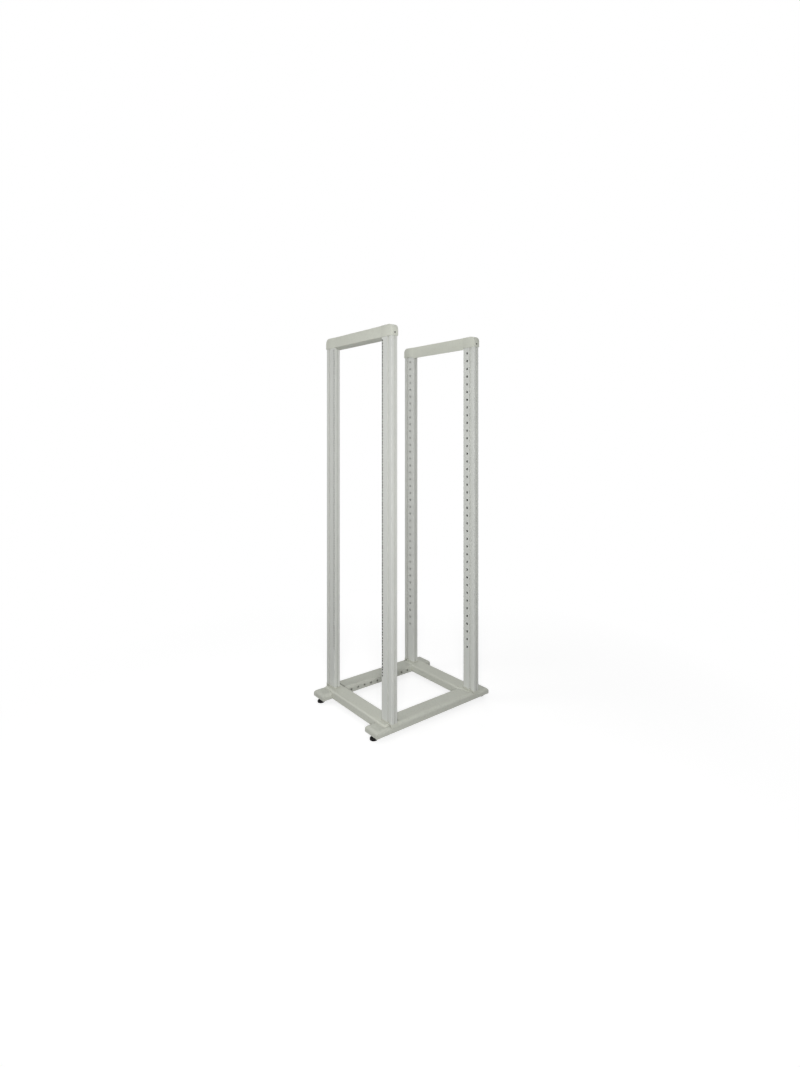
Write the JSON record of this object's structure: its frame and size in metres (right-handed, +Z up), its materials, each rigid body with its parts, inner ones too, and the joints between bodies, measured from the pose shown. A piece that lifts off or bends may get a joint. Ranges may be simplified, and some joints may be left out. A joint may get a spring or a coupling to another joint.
{
  "type": "four-post open frame rack",
  "caption": "Tall open equipment rack: front and rear goal-post frames with square-hole mounting grid on a low base of rails and cross bars with levelling feet.",
  "frame": {"origin": "on the floor, below the middle of the base", "axes": "+X to the right seen from the front, +Y from front to rear, +Z up"},
  "size_m": [0.631, 0.812, 2.09],
  "materials": {
    "grey_paint": "fine textured powder coat",
    "black_rubber": "matte",
    "zinc_plate": "zinc plated"
  },
  "bodies": {
    "root": {"right_base_rail": "grey_paint", "left_base_rail": "grey_paint", "front_cross_bar": "grey_paint", "front_top_bar": "grey_paint", "front_right_post": "grey_paint", "front_right_post_plate": "grey_paint", "front_right_corner_cap": "grey_paint", "front_left_post": "grey_paint", "front_left_post_plate": "grey_paint", "front_left_corner_cap": "grey_paint", "front_foot_plates": "grey_paint", "front_foot_lock_nuts": "zinc_plate", "front_foot_studs": "zinc_plate", "front_foot_pads": "black_rubber", "rear_cross_bar": "grey_paint", "rear_top_bar": "grey_paint", "rear_right_post": "grey_paint", "rear_right_post_plate": "grey_paint", "rear_right_corner_cap": "grey_paint", "rear_left_post": "grey_paint", "rear_left_post_plate": "grey_paint", "rear_left_corner_cap": "grey_paint", "rear_foot_plates": "grey_paint", "rear_foot_lock_nuts": "zinc_plate", "rear_foot_studs": "zinc_plate", "rear_foot_pads": "black_rubber"}
  },
  "joints": []
}
